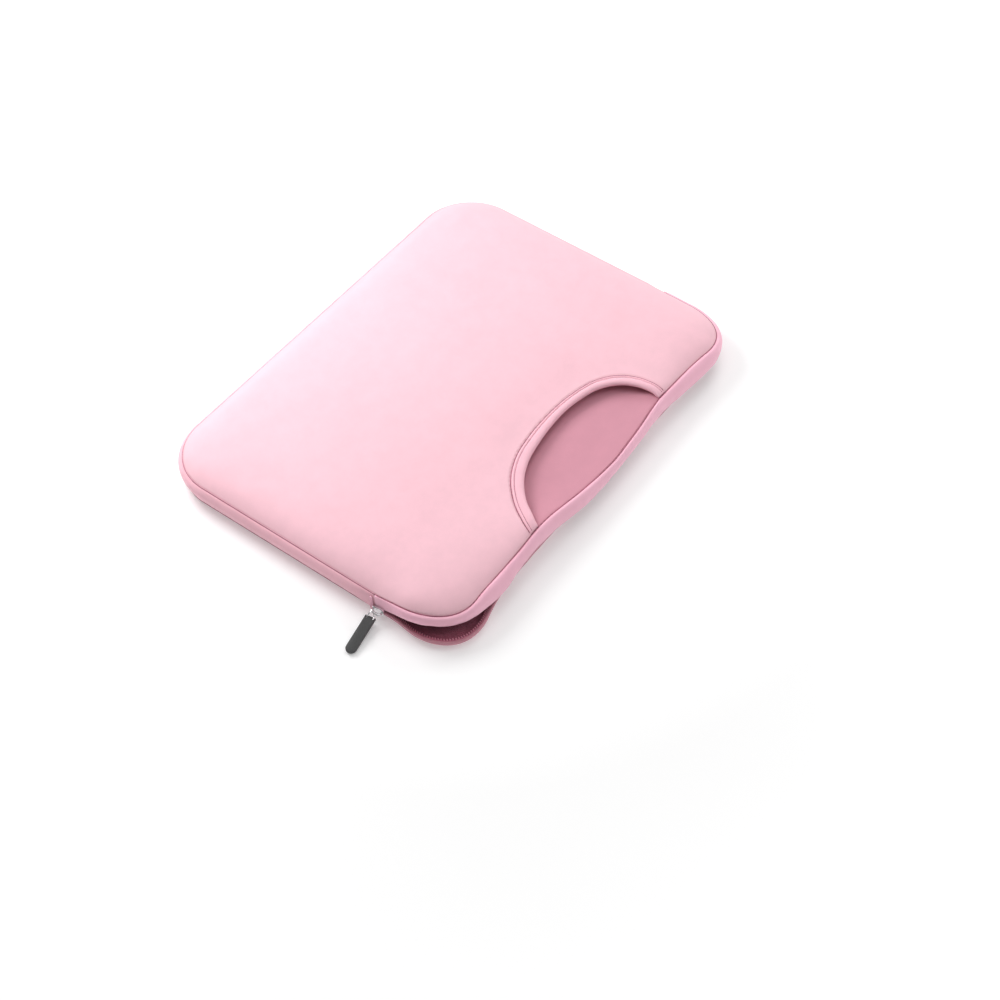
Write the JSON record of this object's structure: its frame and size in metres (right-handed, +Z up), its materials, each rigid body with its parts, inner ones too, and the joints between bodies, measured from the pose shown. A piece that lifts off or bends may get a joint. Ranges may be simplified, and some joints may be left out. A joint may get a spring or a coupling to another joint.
{
  "type": "laptop sleeve",
  "caption": "Flat padded neoprene laptop sleeve with rounded corners, a three-side zip, a bound half-moon front pocket mouth and a zip pull with a rubber tab.",
  "frame": {"origin": "on the underside, at the centre of the rectangle drawn by the panel seams", "axes": "+X along the long side, the zipped mouth faces -Y, +Z up out of the front panel; the zip slider is at the -X end"},
  "size_m": [0.3857, 0.2509, 0.0266],
  "materials": {
    "neoprene": "fine knit neoprene, pale pink",
    "edge_band": "knit neoprene band, deeper pink",
    "plush_lining": "short plush",
    "zip_tape": "woven tape",
    "zip_teeth": "nylon coil",
    "zip_metal": "bright plated die casting and wire",
    "pull_rubber": "matt moulded rubber"
  },
  "bodies": {
    "shell": {"rear_panel": "neoprene", "rear_lining": "plush_lining", "side_gusset": "edge_band", "rear_zip_band": "edge_band", "rear_zip_tape": "zip_tape", "rear_zip_teeth": "zip_teeth", "zip_end_tab_left": "edge_band", "zip_end_tab_right": "edge_band", "zip_bottom_stop": "zip_metal", "zip_top_stop_rear": "zip_metal", "front_panel_main": "neoprene", "pocket_wall_main": "neoprene", "front_lining_main": "plush_lining"},
    "flap": {"front_panel_flap": "neoprene", "pocket_wall_flap": "neoprene", "front_lining_flap": "plush_lining", "pocket_mouth_binding": "edge_band", "front_zip_band": "edge_band", "front_zip_tape": "zip_tape", "front_zip_teeth": "zip_teeth", "zip_top_stop_front": "zip_metal"},
    "slider": {"slider_body": "zip_metal"},
    "loop": {"tab_wire_loop": "zip_metal"},
    "tab": {"pull_tab": "pull_rubber"}
  },
  "joints": [
    {"name": "front_opens", "type": "hinge", "parent": "shell", "child": "flap", "pos_m": [0, -0.0665, 0.023], "axis": [-1, 0, 0], "range_deg": [-4, 60]},
    {"name": "slider_runs", "type": "slide", "parent": "shell", "child": "slider", "axis": [0, -1, 0], "range_m": [0, 0.012]},
    {"name": "loop_swings", "type": "hinge", "parent": "slider", "child": "loop", "pos_m": [-0.17685, -0.0703, 0.00695], "axis": [0, 0, 1], "range_deg": [-68, 46]},
    {"name": "tab_tilts", "type": "hinge", "parent": "loop", "child": "tab", "pos_m": [-0.18238, -0.07118, 0.00465], "axis": [-0.1564, 0.9877, 0], "range_deg": [-75, 74]}
  ]
}
